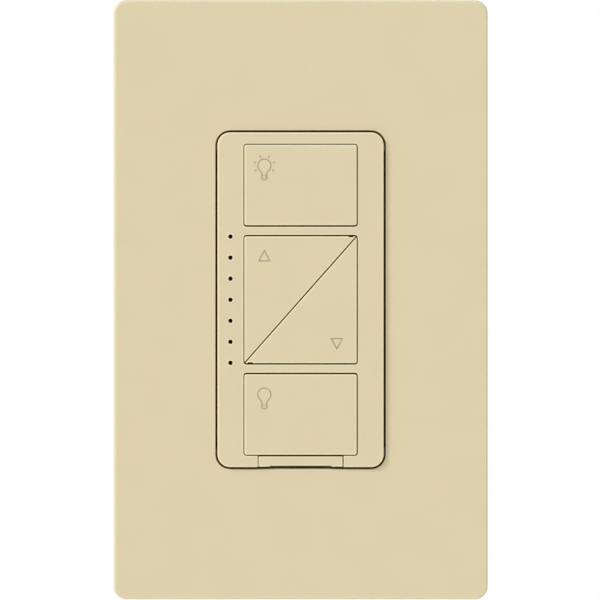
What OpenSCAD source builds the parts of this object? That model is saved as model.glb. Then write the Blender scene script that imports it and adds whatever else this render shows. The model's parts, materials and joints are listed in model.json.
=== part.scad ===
// Wall dimmer with four push keys, seven level lights, a pull-out service switch and a
// screwless wallplate.  X runs across, Z up the wall, and Y into the wall: the wall's surface
// is y = 0, and everything in the room stands at negative y.  The origin is midway between the
// two wall box screws, on the back face of the mounting yoke.

/* [Wallplate] */
// Width of the wallplate cover
plate_w = 74.4; // [73:0.1:78]
// Height of the wallplate cover
plate_h = 119.2; // [118:0.1:124]
// How far the cover's face stands off the wall
plate_d = 7.6; // [7.4:0.1:8.4]
// Radius of the cover's four corners
plate_r = 2.6; // [2.4:0.1:4]
// Rounding between the cover's face and its sides
plate_edge = 0.5; // [0.5:0.1:1.5]
// Width of the opening in the cover
opening_w = 33.6; // [33.2:0.05:33.6]
// Height of the opening in the cover
opening_h = 67.1; // [66.8:0.05:67.2]

/* [Bezel] */
// Space between the bezel and the cover's opening, on each side
bezel_gap = 0.3; // [0.15:0.05:0.3]
// How far the bezel stands in front of the cover
bezel_proud = 1.0; // [0.6:0.1:1.4]
// Radius of the bezel's four corners
bezel_r = 2.5; // [1.8:0.1:3]
// Height of the bar between two keys
bar_h = 1.6; // [1.6:0.1:1.9]
// Diameter of each level light's hole
light_hole_d = 0.9; // [0.6:0.1:1]
// Distance from one level light to the next
light_pitch = 4.18; // [4:0.01:4.3]
// Number of level lights
light_count = 7; // [5:2:7]

/* [Keys] */
// Width of every key
key_w = 22.3; // [21.8:0.1:22.5]
// Height of the on key and of the off key
end_key_h = 16.0; // [15.7:0.05:16.1]
// Height of the rectangle that the raise and lower keys share
mid_key_h = 25.2; // [24.8:0.1:25.3]
// Space beside each key
key_gap = 0.2; // [0.15:0.05:0.25]
// Space above and below the rectangle that the raise and lower keys share
mid_gap = 0.28; // [0.2:0.02:0.3]
// Width of the diagonal seam between the raise and lower keys
seam_gap = 0.2; // [0.18:0.02:0.3]
// How far the keys stand in front of the bezel
key_proud = 0.3; // [0.2:0.1:0.6]
// How far a key goes in
key_travel = 0.5; // [0.3:0.1:0.5]

/* [Service switch] */
// Width of the pull tab
tab_w = 16.8; // [15:0.1:17]
// How far the tab pulls out
tab_travel = 4.5; // [4:0.1:4.5]

/* [Mounting] */
// Distance between the two wall box screws
box_pitch = 83.34; // [83:0.01:83.7]
// Distance between the two screws that hold the wallplate adapter
adapter_pitch = 96.84; // [96.5:0.01:97.2]
// Thickness of the mounting yoke
yoke_t = 1.6; // [1.4:0.1:1.6]

/* [Rear housing] */
// Width of the rear cover
housing_w = 43.0; // [42.6:0.1:43.4]
// Height of the rear cover
housing_h = 70.0; // [69.8:0.1:70.4]
// How far the rear cover reaches into the wall box
housing_d = 31.5; // [31:0.1:36]
// Wall thickness of the rear cover
housing_wall = 1.6; // [1.4:0.1:1.8]
// Diameter of each hole where a lead comes out
inlet_d = 3.8; // [3.4:0.1:4.2]

/* [Hidden] */
$fn = 64;

slice = 0.01;      // thickness of a hull's layers
past = 1;          // how far a cut runs beyond what it cuts
ends = [-1, 1];

// Depths of the faces that the room sees
cover_front = -plate_d;
bezel_front = cover_front - bezel_proud;
key_front = bezel_front - key_proud;
yoke_front = -yoke_t;

// Wallplate cover
plate_wall = 1.8;
cover_inside = cover_front + plate_wall;
plate_bevel = 0.2;
opening_r = bezel_r + bezel_gap;
collar_t = 1.2;
collar_back = -4.4;
rib_t = 1;
rib_z = 22;
rib_x = [(opening_w + collar_t) / 2, (plate_w - plate_wall) / 2];

// Latches: the adapter's stand in front of the cover's catches
latch_w = 8;
latch_x = 21;
latch_z = 34;
latch_t = 0.8;
latch_front = -3.0;
catch_front = -2.0;
catch_reach = 0.6;
latch_reach = 0.5;

// Wallplate adapter
adapter_front = -3.6;
adapter_clear = 0.85;
adapter_w = plate_w - 2 * plate_wall - 2 * adapter_clear;
adapter_h = plate_h - 2 * plate_wall - 2 * adapter_clear;
adapter_r = 2;
skirt_t = 1.3;
skirt_back = -0.2;
adapter_opening = [opening_w + 0.9, opening_h + 1];
head_sink = 0.9;
side_window = [7.6, 40];
side_window_at = [28.2, 24];
end_window = [15, 9];
end_window_at = [22.5, 48.5];

// Screws, all with the same kind of head
machine_head_r = 3.2;
machine_head_h = 2.1;
adapter_screw_r = 1.7;
adapter_screw_tip = 5;
box_screw_r = 1.75;
box_neck_r = 1.55;
box_neck_back = 0.45;
box_screw_tip = 23.8;
recess_w = 0.8;
recess_deep = 1.2;

// Yoke
yoke_mid = [44.6, 73.4];
yoke_ear = [30, 106];
slot_r = 1.95;
slot_len = 7;
adapter_hole_r = 1.75;
header_window = [18, 8];
score_x = 20.2;
score_w = 0.6;
score_deep = 0.4;
retainer = [9, 8];
retainer_t = 0.4;

// Bezel
bezel_w = opening_w - 2 * bezel_gap;
bezel_h = opening_h - 2 * bezel_gap;
bezel_face = 1.6;
bezel_wall = 1.2;
bezel_edge = 0.25;
face_back = bezel_front + bezel_face;
light_x = -13.93;
hook_x = bezel_w / 2 - 0.9;
hook_z = 20;
hook_len = 5;
hook_t = 0.9;
barb_t = 1.5;
barb = [0.1, 1.2];
seam_rib = [-5.4, -4.8];
seam_rib_w = 1.2;

// Keys
end_gap = 0.3;
end_window_in = mid_key_h / 2 + mid_gap + bar_h;
end_key_z = end_window_in + end_gap + end_key_h / 2;
end_window_h = end_gap + end_key_h + key_gap;
key_cap = 1.4;
key_back = face_back + 1;
key_inside = key_front + key_cap;
key_edge = 0.2;
key_r = 0.4;
key_wall = 1;
post_r = 1.4;
tip_cut = 0.25;
diagonal = norm([key_w, mid_key_h]);
tip_notch = [1.0, 0.2];
tip_notch_x = 10;
flange_reach = 0.6;
flange_play = 0.05;

// Control board, in front of the yoke
board_back = -2.2;
board_t = 1;
board_front = board_back - board_t;
board = [29.8, 61.6];
board_up = 0.4;
insulator_play = 0.1;

// Tactile switches, one behind each key
on_spot = [0, end_key_z];
raise_spot = [-4.6, 4.6];
lower_spot = -raise_spot;
off_spot = -on_spot;
switch_spots = [on_spot, raise_spot, lower_spot, off_spot];
switch_w = 4.5;
switch_front = board_front - 1;
switch_cap_t = 0.2;
plunger_r = 1;
plunger_front = switch_front - switch_cap_t - 0.8;
flange_r = 1.6;
flange_t = 0.23;
flange_back = switch_front + flange_t + 0.02;
cavity_r = 1.85;
cavity_back = flange_back + key_travel + 0.1;
dome_rise = cavity_back - flange_back;
dome_t = 0.1;

// Light pipe and lights
pipe_bar = [2.3, 1.4];
pipe_x = -13.9;
pipe_pin_r = light_hole_d / 2 - 0.04;
pipe_pin_front = bezel_front + 0.8;
pipe_leg_r = 0.7;
pipe_leg_back = board_front - 0.8;
light_body = [1.0, 1.6];
light_t = 0.6;

// Chips and the antenna on the control board
chip_w = 6;
chip_t = 0.9;
chip_at = [6.5, 8];
shield = [9, 7];
shield_at = [-5.5, -8.5];
shield_h = 1.5;
shield_t = 0.2;
trace_t = 0.1;
trace_w = 0.6;
loop = [24, 2.4];
loop_z = 28.6;

// Header that joins the two boards
pin_pitch = 2.54;
pin_w = 0.64;
pin_spots = [for (i = [-2 : 2], row = ends) [i * pin_pitch, row * pin_pitch / 2]];
header = [13.2, 5.4];
header_front = -0.8;
header_back = 1.7;

// Service switch
tab_front = bezel_front + 0.05;
tab_bottom = 0.1 - bezel_h / 2;
tab_top = -end_key_z - end_key_h / 2 - 0.25;
tab_depth = 3;
tab_edge = 0.2;
tab_play = 0.15;
nail_w = 12.2;
nail_lip = 0.25;
nail_undercut = 0.7;
foot_h = 0.8;
foot_play = 0.06;
arm_w = 8;
arm_z = [tab_bottom + 0.55, tab_top - 0.05];
arm_play = 0.4;
stop_w = arm_w + 3;
stop_front = tab_travel + 0.1;
stop_back = stop_front + 2;
blade_t = 0.8;
blade_z = [arm_z[0] + 0.3, arm_z[0] + 0.3 + blade_t];
blade_w = 13;
blade_root_w = 7;
blade_back = 10.8;
jaw_front = 8.6;
jaw_back = blade_back + 0.6;
jaw_t = 0.35;
jaw_play = 0.05;
jaw_w = 3;
jaw_x = 5;
clip_foot_z = [-28.4, -26];
clip_t = 0.4;

// Power board, behind the yoke
power_front = 8;
power_t = 1.6;
power_back = power_front + power_t;
power_board_size = [housing_w - 2 * housing_wall - 1.2, housing_h - 2 * housing_wall - 2.8];
power_notch_w = 18;
power_notch_top = -28.8;

// Dimming transistors, screwed flat on the yoke, which carries their heat away
transistor_x = 8.5;
transistor_z = 12;
transistor_body = [10, 9.2];
transistor_tab = [10, 15.6];
transistor_h = 4.5;
transistor_tab_t = 1.3;
transistor_hole_z = transistor_z + 12.6;
transistor_hole_r = 1.8;
lead_y = 3;
lead_t = 0.5;
lead_w = 0.8;
lead_drop = 3;
pad_t = 0.3;
pad_margin = 0.3;
pan_head_r = 2.7;
pan_head_h = 1.9;
pan_screw_r = 1.5;

// Choke
choke_at = [8.6, -3.4];
choke_r = 8.6;
choke_hole_r = 4.2;
choke_h = 6.6;
choke_front = power_back + 1.2;
choke_turns = 22;
choke_arc = 320;
wire_t = 0.7;
wire_play = 0.05;

// Other parts on the power board
film = [11, 18];
film_at = [-10.5, -3];
film_h = 15;
can_r = 4;
can_h = 16;
can_groove = [1.6, 2.2];
can_x = [-11, -1];
can_z = 20;
varistor_at = [12.8, 24.8];
varistor_r = 5;
varistor_t = 3.6;
fuse_at = [11, 15];
fuse_size = [8.4, 4.3];
fuse_h = 7.4;
fuse_lift = 0.6;
wire_leg = 0.6;
eyelet_r = 1.9;
eyelet_hole_r = 1.3;
eyelet_h = 1.4;

// Rear cover
inside_back = housing_d - housing_wall;
housing_r = 3;
housing_edge = 1.2;
boss_r = 3.6;
boss_at = [17.2, 30.8];
boss_clear = 0.5;
boss_hole_r = 1.6;
boss_sink_r = 2.75;
boss_sink = 3.4;
tie_screw_r = 1.38;
tie_head_r = 2.6;
tie_head_front = 1;
yoke_tie_hole_r = 1.42;
side_rib = [0.8, 1.2];
side_rib_z = 14;
inlet_x = 12;
inlet_z = -20;
inlet_spots = [for (x = [-inlet_x, 0, inlet_x]) [x, inlet_z]];
label = [28, 34];
label_z = 8;
label_sink = 0.3;

// ---------------------------------------------------------------- shared shapes

// A flat outline, X across and Z up, made solid between two depths
module between(front, back)
    translate([0, back, 0]) rotate([90, 0, 0]) linear_extrude(back - front) children();

// A round bar along Y at [x, z]
module rod(spot, front, back, r)
    translate([spot[0], back, spot[1]]) rotate([90, 0, 0]) cylinder(h = back - front, r = r);

// A rectangle with round corners
module outline(size, r) {
    square([size[0] - 2 * r, size[1]], center = true);
    square([size[0], size[1] - 2 * r], center = true);
    for (x = ends, z = ends)
        translate([x * (size[0] / 2 - r), z * (size[1] / 2 - r)]) circle(r);
}

// A plain rectangle at [x, z]
module box_at(spot, size)
    translate(spot) square(size, center = true);

// A bar centred on X, between two depths and two heights
module bar(w, front, back, z)
    between(front, back) box_at([0, (z[0] + z[1]) / 2], [w, z[1] - z[0]]);

// A convex outline made solid, with its front edge rounded in steps
module soft_slab(front, back, edge, steps = 3) {
    $fn = 40;
    hull() {
        between(front + edge, back) children();
        for (i = [1 : steps])
            let (a = 90 * i / steps, in = edge * (1 - cos(a)), deep = edge * (1 - sin(a)))
                between(front + deep, front + deep + slice) offset(delta = -in) children();
    }
}

// A slot with round ends, long way across
module slot_outline(length, r) {
    square([length - 2 * r, 2 * r], center = true);
    for (x = ends) translate([x * (length / 2 - r), 0]) circle(r);
}

// A machine screw pointing into the wall: stepped head with a cross recess, neck, thread.
// The underside of its head is at y = seat.
module screw(seat, head_r, head_h, neck_r, neck_back, thread_r, tip) {
    head_front = seat - head_h;
    crown = 0.5;
    difference() {
        union() {
            rod([0, 0], head_front + crown, seat, head_r);
            rod([0, 0], head_front, head_front + crown, head_r - 0.45);
        }
        for (turn = [0, 90])
            translate([0, head_front, 0]) rotate([0, turn, 0])
                cube([head_r * 1.15, 2 * recess_deep, recess_w], center = true);
    }
    rod([0, 0], seat, neck_back, neck_r);
    rod([0, 0], neck_back, tip, thread_r);
}

// ---------------------------------------------------------------- wallplate

module wallplate_cover() color("wheat") {
    difference() {
        soft_slab(cover_front, 0, plate_edge, 6) outline([plate_w, plate_h], plate_r);
        between(cover_inside, past)
            outline([plate_w - 2 * plate_wall, plate_h - 2 * plate_wall], plate_r - plate_wall);
        between(cover_front - past, past) outline([opening_w, opening_h], opening_r);
        opening_bevel();
    }
    // Collar behind the opening
    difference() {
        between(cover_inside, collar_back)
            outline([opening_w + 2 * collar_t, opening_h + 2 * collar_t], opening_r + collar_t);
        between(cover_inside - past, 0) outline([opening_w, opening_h], opening_r);
    }
    // Catches on the inner side of all four walls
    between(catch_front, catch_front + latch_t) {
        for (x = ends, z = ends)
            box_at([x * latch_x, z * (plate_h / 2 - plate_wall)], [latch_w, 2 * catch_reach]);
        for (x = ends, z = ends)
            box_at([x * (plate_w / 2 - plate_wall), z * latch_z], [2 * catch_reach, latch_w]);
    }
    // Stiffening ribs behind the face
    between(cover_inside, collar_back)
        for (x = ends, z = [-rib_z, 0, rib_z])
            box_at([x * (rib_x[0] + rib_x[1]) / 2, z], [rib_x[1] - rib_x[0], rib_t]);
}

// Small bevel that leads into the cover's opening
module opening_bevel() {
    $fn = 40;
    hull() {
        between(cover_front - slice, cover_front)
            outline([opening_w + 2 * plate_bevel, opening_h + 2 * plate_bevel],
                opening_r + plate_bevel);
        between(cover_front + plate_bevel, cover_front + plate_bevel + slice)
            outline([opening_w, opening_h], opening_r);
    }
}

module wallplate_adapter() color("linen") {
    difference() {
        union() {
            between(adapter_front, yoke_front) outline([adapter_w, adapter_h], adapter_r);
            difference() {
                between(yoke_front, skirt_back) outline([adapter_w, adapter_h], adapter_r);
                between(yoke_front - past, past)
                    outline([adapter_w - 2 * skirt_t, adapter_h - 2 * skirt_t],
                        adapter_r - skirt_t);
            }
            // Latches that the cover's catches close behind
            between(latch_front, latch_front + latch_t) {
                for (x = ends, z = ends)
                    box_at([x * latch_x, z * adapter_h / 2], [latch_w - 1, 2 * latch_reach]);
                for (x = ends, z = ends)
                    box_at([x * adapter_w / 2, z * latch_z], [2 * latch_reach, latch_w - 1]);
            }
        }
        between(adapter_front - past, past) {
            outline(adapter_opening, bezel_r);
            // Windows that save plastic
            for (x = ends, z = ends) {
                translate([x * side_window_at[0], z * side_window_at[1]])
                    outline(side_window, 1.2);
                translate([x * end_window_at[0], z * end_window_at[1]])
                    outline(end_window, 1.2);
            }
        }
        for (z = ends) {
            rod([0, z * adapter_pitch / 2], adapter_front - past, past, adapter_screw_r + 0.4);
            rod([0, z * adapter_pitch / 2], adapter_front - past, adapter_front + head_sink,
                machine_head_r + 0.2);
            rod([0, z * box_pitch / 2], adapter_front - past, past, machine_head_r + 0.6);
        }
    }
}

module adapter_screws() color("silver")
    for (z = ends)
        translate([0, 0, z * adapter_pitch / 2])
            screw(adapter_front + head_sink, machine_head_r, machine_head_h,
                adapter_screw_r, yoke_front, adapter_screw_r, adapter_screw_tip);

// ---------------------------------------------------------------- yoke and its screws

module yoke() color("gainsboro")
    difference() {
        between(yoke_front, 0) {
            outline(yoke_mid, 1.5);
            outline(yoke_ear, 3);
        }
        between(yoke_front - past, past) {
            for (z = ends) {
                translate([0, z * box_pitch / 2]) slot_outline(slot_len, slot_r);
                translate([0, z * adapter_pitch / 2]) circle(adapter_hole_r);
            }
            outline(header_window, 1);
            box_at([0, (arm_z[0] + arm_z[1]) / 2],
                [arm_w + 1, arm_z[1] - arm_z[0] + 2 * arm_play]);
            // Slots for the bezel's hooks
            for (x = ends, z = ends)
                box_at([x * hook_x, z * hook_z], [hook_t + 0.8, hook_len + 0.6]);
            // Holes for the rear cover's screws and the transistors' screws
            for (x = ends, z = ends)
                translate([x * boss_at[0], z * boss_at[1]]) circle(yoke_tie_hole_r);
            for (x = ends)
                translate([x * transistor_x, transistor_hole_z]) circle(pan_screw_r + 0.02);
        }
        // Scored lines where the side fins break off
        for (x = ends)
            translate([x * score_x, yoke_front, 0])
                cube([score_w, 2 * score_deep, yoke_mid[1] + 2 * past], center = true);
    }

module box_screws() color("silver")
    for (z = ends)
        translate([0, 0, z * box_pitch / 2])
            screw(yoke_front, machine_head_r, machine_head_h,
                box_neck_r, box_neck_back, box_screw_r, box_screw_tip);

module screw_retainers() color("peru")
    for (z = ends)
        difference() {
            translate([0, 0, z * box_pitch / 2]) between(0, retainer_t) outline(retainer, 1);
            rod([0, z * box_pitch / 2], -past, past, box_neck_r + 0.05);
        }

// ---------------------------------------------------------------- bezel and light pipe

function light_z(i) = (i - (light_count - 1) / 2) * light_pitch;

module bezel() color("wheat")
    difference() {
        union() {
            difference() {
                soft_slab(bezel_front, yoke_front, bezel_edge) outline([bezel_w, bezel_h], bezel_r);
                between(face_back, 0)
                    outline([bezel_w - 2 * bezel_wall, bezel_h - 2 * bezel_wall],
                        bezel_r - bezel_wall);
            }
            for (x = ends, z = ends) bezel_hook(x, z);
            // Rib behind the seam between the raise and lower keys
            between(seam_rib[0], seam_rib[1]) intersection() {
                outline([bezel_w - bezel_wall, bezel_h - bezel_wall], bezel_r - bezel_wall / 2);
                rotate(atan2(mid_key_h, key_w)) square([bezel_h, seam_rib_w], center = true);
            }
        }
        between(bezel_front - past, face_back + past) {
            for (z = ends)
                translate([0, z * (end_window_in + end_window_h / 2)])
                    outline([key_w + 2 * key_gap, end_window_h], key_r + key_gap);
            outline([key_w + 2 * key_gap, mid_key_h + 2 * mid_gap], key_r + key_gap);
            for (i = [0 : light_count - 1])
                translate([light_x, light_z(i)]) circle(light_hole_d / 2);
        }
        // Channel for the service tab, open to the off key's window and to the edge
        bar(tab_w + 2 * tab_play, bezel_front - past, past, [tab_bottom - past, tab_top + past]);
    }

// A hook that goes through the yoke and springs out behind it
module bezel_hook(x, z)
    translate([0, 0, z * hook_z]) {
        between(yoke_front - 0.5, barb[1]) box_at([x * hook_x, 0], [hook_t, hook_len]);
        between(barb[0], barb[1])
            box_at([x * (hook_x + (barb_t - hook_t)), 0], [barb_t, hook_len]);
    }

module light_pipe() color("dimgray") {
    between(face_back, face_back + pipe_bar[1])
        box_at([pipe_x, 0], [pipe_bar[0], light_pitch * light_count]);
    for (i = [0 : light_count - 1]) {
        rod([light_x, light_z(i)], pipe_pin_front, face_back + pipe_bar[1] / 2, pipe_pin_r);
        rod([light_x, light_z(i)], face_back + pipe_bar[1] / 2, pipe_leg_back, pipe_leg_r);
    }
}

// ---------------------------------------------------------------- keys

// A key: a cap with a soft front edge, hollow behind, with one post for its switch
module key(centre_z, spot) {
    difference() {
        translate([0, 0, centre_z]) soft_slab(key_front, key_back, key_edge) children();
        translate([0, 0, centre_z]) between(key_inside, key_back + past)
            offset(delta = -key_wall) children();
    }
    rod(spot, key_inside - 0.2, plunger_front, post_r);
}

// The flange that stops behind the bezel's face, round the hollow of the key in front of it.
// The first child is the flange's outline and the second is the key's.
module flange()
    between(face_back + flange_play, key_back)
        difference() {
            children(0);
            offset(delta = -key_wall) children(1);
        }

// The flange leaves out the side away from the middle, where the service tab is
module end_key(side, spot) {
    key(side * end_key_z, spot) outline([key_w, end_key_h], key_r);
    translate([0, 0, side * end_key_z]) flange() {
        translate([0, -side * flange_reach / 2])
            outline([key_w + 2 * flange_reach, end_key_h + flange_reach], key_r);
        outline([key_w, end_key_h], key_r);
    }
}

// Half of the middle rectangle, above the diagonal seam
function seam_z(x) = (seam_gap / 2 * diagonal + x * mid_key_h) / key_w;
function seam_x(z) = (z * key_w - seam_gap / 2 * diagonal) / mid_key_h;

// more is how far the outline reaches beyond the rectangle
module upper_half(more = 0) {
    low = tip_cut - mid_key_h / 2;
    right = key_w / 2 - tip_cut;
    intersection() {
        outline([key_w + 2 * more, mid_key_h + 2 * more], key_r);
        polygon([
            [-key_w, mid_key_h], [-key_w, low], [seam_x(low), low],
            [right, seam_z(right)], [right, mid_key_h]
        ]);
    }
}

// The raise key; the lower key is the same turned half round
module slanted_key(spot)
    difference() {
        union() {
            key(0, spot) upper_half();
            flange() {
                upper_half(flange_reach);
                upper_half();
            }
        }
        // Moulding notch in the edge near the sharp tip
        between(key_front - past, key_back - 1)
            box_at([tip_notch_x, mid_key_h / 2], [tip_notch[0], 2 * tip_notch[1]]);
    }

module on_key() color("wheat") end_key(1, on_spot);
module off_key() color("wheat") end_key(-1, off_spot);
module raise_key() color("wheat") slanted_key(raise_spot);
module lower_key() color("wheat") rotate([0, 180, 0]) slanted_key(raise_spot);

// ---------------------------------------------------------------- tactile switches

module plunger(spot) {
    rod(spot, plunger_front, flange_back, plunger_r);
    rod(spot, flange_back - flange_t, flange_back, flange_r);
}

module on_plunger() color("dimgray") plunger(on_spot);
module raise_plunger() color("dimgray") plunger(raise_spot);
module lower_plunger() color("dimgray") plunger(lower_spot);
module off_plunger() color("dimgray") plunger(off_spot);

// Snap domes: shallow metal cups, each with its crown against its plunger's flange
module switch_domes() color("silver")
    for (spot = switch_spots)
        translate([spot[0], flange_back, spot[1]]) rotate([-90, 0, 0])
            rotate_extrude() polygon([
                [0, 0], [plunger_r, dome_t], [flange_r + dome_t, dome_rise - dome_t],
                [flange_r + dome_t, dome_rise], [plunger_r - dome_t / 2, 2 * dome_t], [0, dome_t]
            ]);

module switch_bases() color("black")
    for (spot = switch_spots)
        difference() {
            between(switch_front, board_front) box_at(spot, [switch_w, switch_w]);
            rod(spot, switch_front - past, cavity_back, cavity_r);
        }

module switch_caps() color("silver")
    for (spot = switch_spots)
        difference() {
            between(switch_front - switch_cap_t, switch_front) box_at(spot, [switch_w, switch_w]);
            rod(spot, switch_front - past, board_front, plunger_r + 0.1);
        }

// ---------------------------------------------------------------- control board

module control_board() color("darkgreen")
    between(board_front, board_back) translate([0, board_up]) outline(board, 0.8);

module status_lights() color("white")
    for (i = [0 : light_count - 1])
        between(board_front - light_t, board_front) box_at([light_x, light_z(i)], light_body);

module controller_chip() color("black")
    between(board_front - chip_t, board_front) box_at(chip_at, [chip_w, chip_w]);

module radio_shield() color("silver")
    translate([shield_at[0], 0, shield_at[1]]) difference() {
        between(board_front - shield_h, board_front) outline(shield, 2 * shield_t);
        between(board_front - shield_h + shield_t, 0)
            outline([shield[0] - 2 * shield_t, shield[1] - 2 * shield_t], shield_t);
    }

// Printed loop along the top of the board
module antenna() color("goldenrod")
    between(board_front - trace_t, board_front)
        translate([0, loop_z]) difference() {
            square(loop, center = true);
            translate([0, -trace_w]) square([loop[0] - 2 * trace_w, loop[1]], center = true);
        }

module board_insulator() color("dimgray")
    difference() {
        between(board_back + insulator_play, yoke_front - insulator_play)
            translate([0, board_up]) outline([board[0] - 0.4, board[1] - 0.8], 0.8);
        between(board_back, yoke_front) square([header[0] + 1.8, header[1] + 1.2], center = true);
    }

module header_pins() color("gold")
    between(board_back, power_front)
        for (spot = pin_spots) box_at(spot, [pin_w, pin_w]);

module header_housing() color("black")
    between(header_front, header_back)
        difference() {
            square(header, center = true);
            for (spot = pin_spots) box_at(spot, [pin_w + 0.02, pin_w + 0.02]);
        }

// ---------------------------------------------------------------- service switch

module service_tab() color("wheat")
    difference() {
        union() {
            translate([0, 0, (tab_bottom + tab_top) / 2])
                soft_slab(tab_front, tab_front + tab_depth, tab_edge)
                    outline([tab_w, tab_top - tab_bottom], tab_edge + 0.05);
            // Foot that nearly fills the channel's width
            bar(tab_w + 2 * (tab_play - foot_play), tab_front + tab_edge, tab_front + tab_depth,
                [tab_bottom + 0.05, tab_bottom + foot_h]);
            bar(arm_w, tab_front + tab_depth - 0.1, stop_front + 0.1, arm_z);
            bar(stop_w, stop_front, stop_back, [arm_z[0] - 0.2, arm_z[1] + 0.2]);
        }
        // Lip and undercut for a fingernail
        bar(nail_w, tab_front - past, tab_front + 1, [tab_bottom - past, tab_bottom + nail_lip]);
        bar(nail_w, tab_front + 0.9, tab_front + 2.2,
            [tab_bottom - past, tab_bottom + nail_undercut]);
        // Pocket that holds the contact bridge
        bar(blade_root_w, stop_back - 1.2, stop_back + past, blade_z);
    }

module contact_bridge() color("orange") {
    bar(blade_root_w, stop_back - 1.2, stop_back, blade_z);
    bar(blade_w, stop_back, blade_back, blade_z);
}

// Two spring clips whose jaws close on the contact bridge
module contact_clips() color("goldenrod")
    for (x = ends)
        translate([x * jaw_x, 0, 0]) {
            low = blade_z[0] - jaw_play - jaw_t;
            high = blade_z[1] + jaw_play + jaw_t;
            bar(jaw_w, jaw_front, jaw_back, [high - jaw_t, high]);
            bar(jaw_w, jaw_front, jaw_back, [low, low + jaw_t]);
            bar(jaw_w, jaw_back - clip_t, jaw_back, [low, clip_foot_z[0] + clip_t]);
            bar(jaw_w, power_back, jaw_back, [clip_foot_z[0], clip_foot_z[0] + clip_t]);
            bar(jaw_w, power_back, power_back + clip_t, clip_foot_z);
        }

// ---------------------------------------------------------------- power board

module power_board() color("darkgreen")
    difference() {
        between(power_front, power_back) outline(power_board_size, 1);
        for (x = ends, z = ends)
            rod([x * boss_at[0], z * boss_at[1]], power_front - past, power_back + past,
                boss_r + boss_clear);
        // Clearance for the contact bridge and its clips
        bar(power_notch_w, power_front - past, power_back + past, [-housing_h / 2, power_notch_top]);
    }

module transistor_bodies() color("black")
    for (x = ends)
        translate([x * transistor_x, 0, transistor_z + transistor_body[1] / 2])
            between(pad_t + transistor_tab_t, pad_t + transistor_h)
                square(transistor_body, center = true);

module transistor_tabs() color("silver")
    for (x = ends)
        translate([x * transistor_x, 0, transistor_z]) {
            difference() {
                between(pad_t, pad_t + transistor_tab_t)
                    box_at([0, transistor_tab[1] / 2], transistor_tab);
                rod([0, transistor_hole_z - transistor_z], 0, pad_t + 2, transistor_hole_r);
            }
            for (i = [-1 : 1])
                translate([i * pin_pitch, 0, 0]) {
                    bar(lead_w, lead_y, lead_y + lead_t, [-lead_drop, 0]);
                    bar(lead_w, lead_y, power_front, [-lead_drop, lead_t - lead_drop]);
                }
        }

module thermal_pads() color("lightgray")
    for (x = ends)
        difference() {
            between(0, pad_t)
                box_at([x * transistor_x, transistor_z + transistor_tab[1] / 2],
                    transistor_tab + 2 * pad_margin * [1, 1]);
            rod([x * transistor_x, transistor_hole_z], -past, past, transistor_hole_r);
        }

module transistor_screws() color("silver")
    for (x = ends)
        translate([x * transistor_x, 0, transistor_hole_z]) mirror([0, 1, 0])
            screw(-pad_t - transistor_tab_t, pan_head_r, pan_head_h,
                pan_screw_r, 0, pan_screw_r, yoke_t - 0.1);

module choke_core() color("dimgray")
    difference() {
        rod(choke_at, choke_front, choke_front + choke_h, choke_r);
        rod(choke_at, choke_front - past, choke_front + choke_h + past, choke_hole_r);
    }

// Separate turns of wire round the ring
module choke_winding() color("peru") {
    inside = [choke_r - choke_hole_r + 2 * wire_play, choke_h + 2 * wire_play];
    for (i = [0 : choke_turns - 1])
        translate([choke_at[0], choke_front + choke_h / 2, choke_at[1]])
            rotate([0, (360 - choke_arc) / 2 + i * choke_arc / (choke_turns - 1), 0])
                translate([(choke_r + choke_hole_r) / 2, 0, -wire_t / 2])
                    linear_extrude(wire_t) difference() {
                        outline(inside + 2 * wire_t * [1, 1], wire_t);
                        square(inside, center = true);
                    }
}

module film_capacitor() color("khaki")
    translate([film_at[0], 0, film_at[1]])
        between(power_back, power_back + film_h) outline(film, 0.8);

module smoothing_capacitors() color("navy")
    for (x = can_x) {
        rod([x, can_z], power_back, power_back + can_groove[0], can_r);
        rod([x, can_z], power_back + can_groove[0], power_back + can_groove[1], can_r - 0.3);
        rod([x, can_z], power_back + can_groove[1], power_back + can_h, can_r);
    }

// Two straight wires down to the power board
module wire_legs(spot, pitch, length)
    between(power_back, power_back + length)
        for (x = ends) box_at(spot + [x * pitch / 2, 0], [wire_leg, wire_leg]);

module varistor() color("royalblue") {
    translate([varistor_at[0], power_back + varistor_r + 2.5, varistor_at[1]])
        cylinder(h = varistor_t, r = varistor_r, center = true);
    wire_legs(varistor_at, varistor_r, 4);
}

module fuse() color("black") {
    translate([fuse_at[0], 0, fuse_at[1]])
        between(power_back + fuse_lift, power_back + fuse_lift + fuse_h) outline(fuse_size, 0.6);
    wire_legs(fuse_at, 2 * pin_pitch, fuse_lift + 0.2);
}

// Eyelets where the three leads are soldered
module lead_terminals() color("gold")
    for (spot = inlet_spots)
        difference() {
            rod(spot, power_back, power_back + eyelet_h, eyelet_r);
            rod(spot, power_back - past, power_back + eyelet_h + past, eyelet_hole_r);
        }

// ---------------------------------------------------------------- rear cover

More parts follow.
